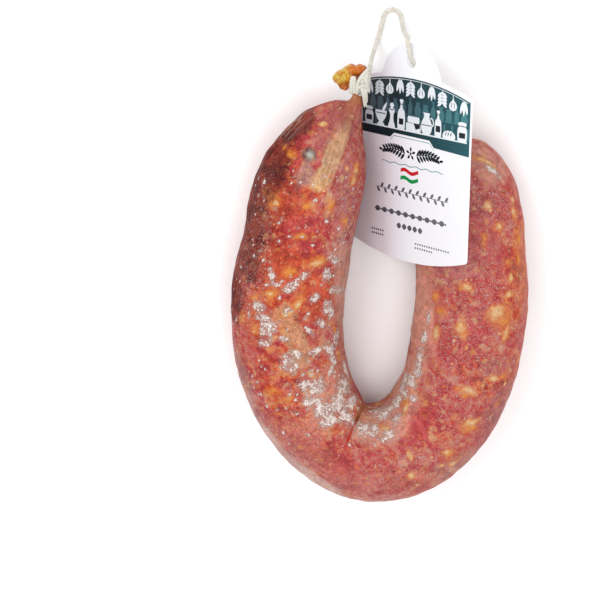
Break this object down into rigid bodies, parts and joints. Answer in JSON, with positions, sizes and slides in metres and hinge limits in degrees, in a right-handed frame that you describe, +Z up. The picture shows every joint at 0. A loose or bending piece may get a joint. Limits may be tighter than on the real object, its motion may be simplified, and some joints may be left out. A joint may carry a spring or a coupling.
{
  "type": "curved dry salami with a hang tag",
  "caption": "Curved dry-cured salami in a wrinkled natural casing, tied at both ends with twine that carries a card hang tag, lying flat.",
  "frame": {"origin": "middle of the lying salami's footprint with its hang tag, on the surface that it lies on; the hanging loop isn't counted", "axes": "+Z up out of the face that shows, +Y from the bend towards the two tied ends, +X from the limb whose tied end shows towards the limb under the tag"},
  "size_m": [0.1143, 0.1924, 0.0504],
  "materials": {
    "casing": "natural casing over coarse red meat and cream fat, dry satin, with white mould and fine wrinkles",
    "twine": "undyed cotton twine, matt",
    "card": "white coated card, glossy, with a printed dark band"
  },
  "bodies": {
    "root": {"salami": "casing", "tie_left": "twine", "tie_right": "twine", "string_loop": "twine", "tag": "card"}
  },
  "joints": []
}
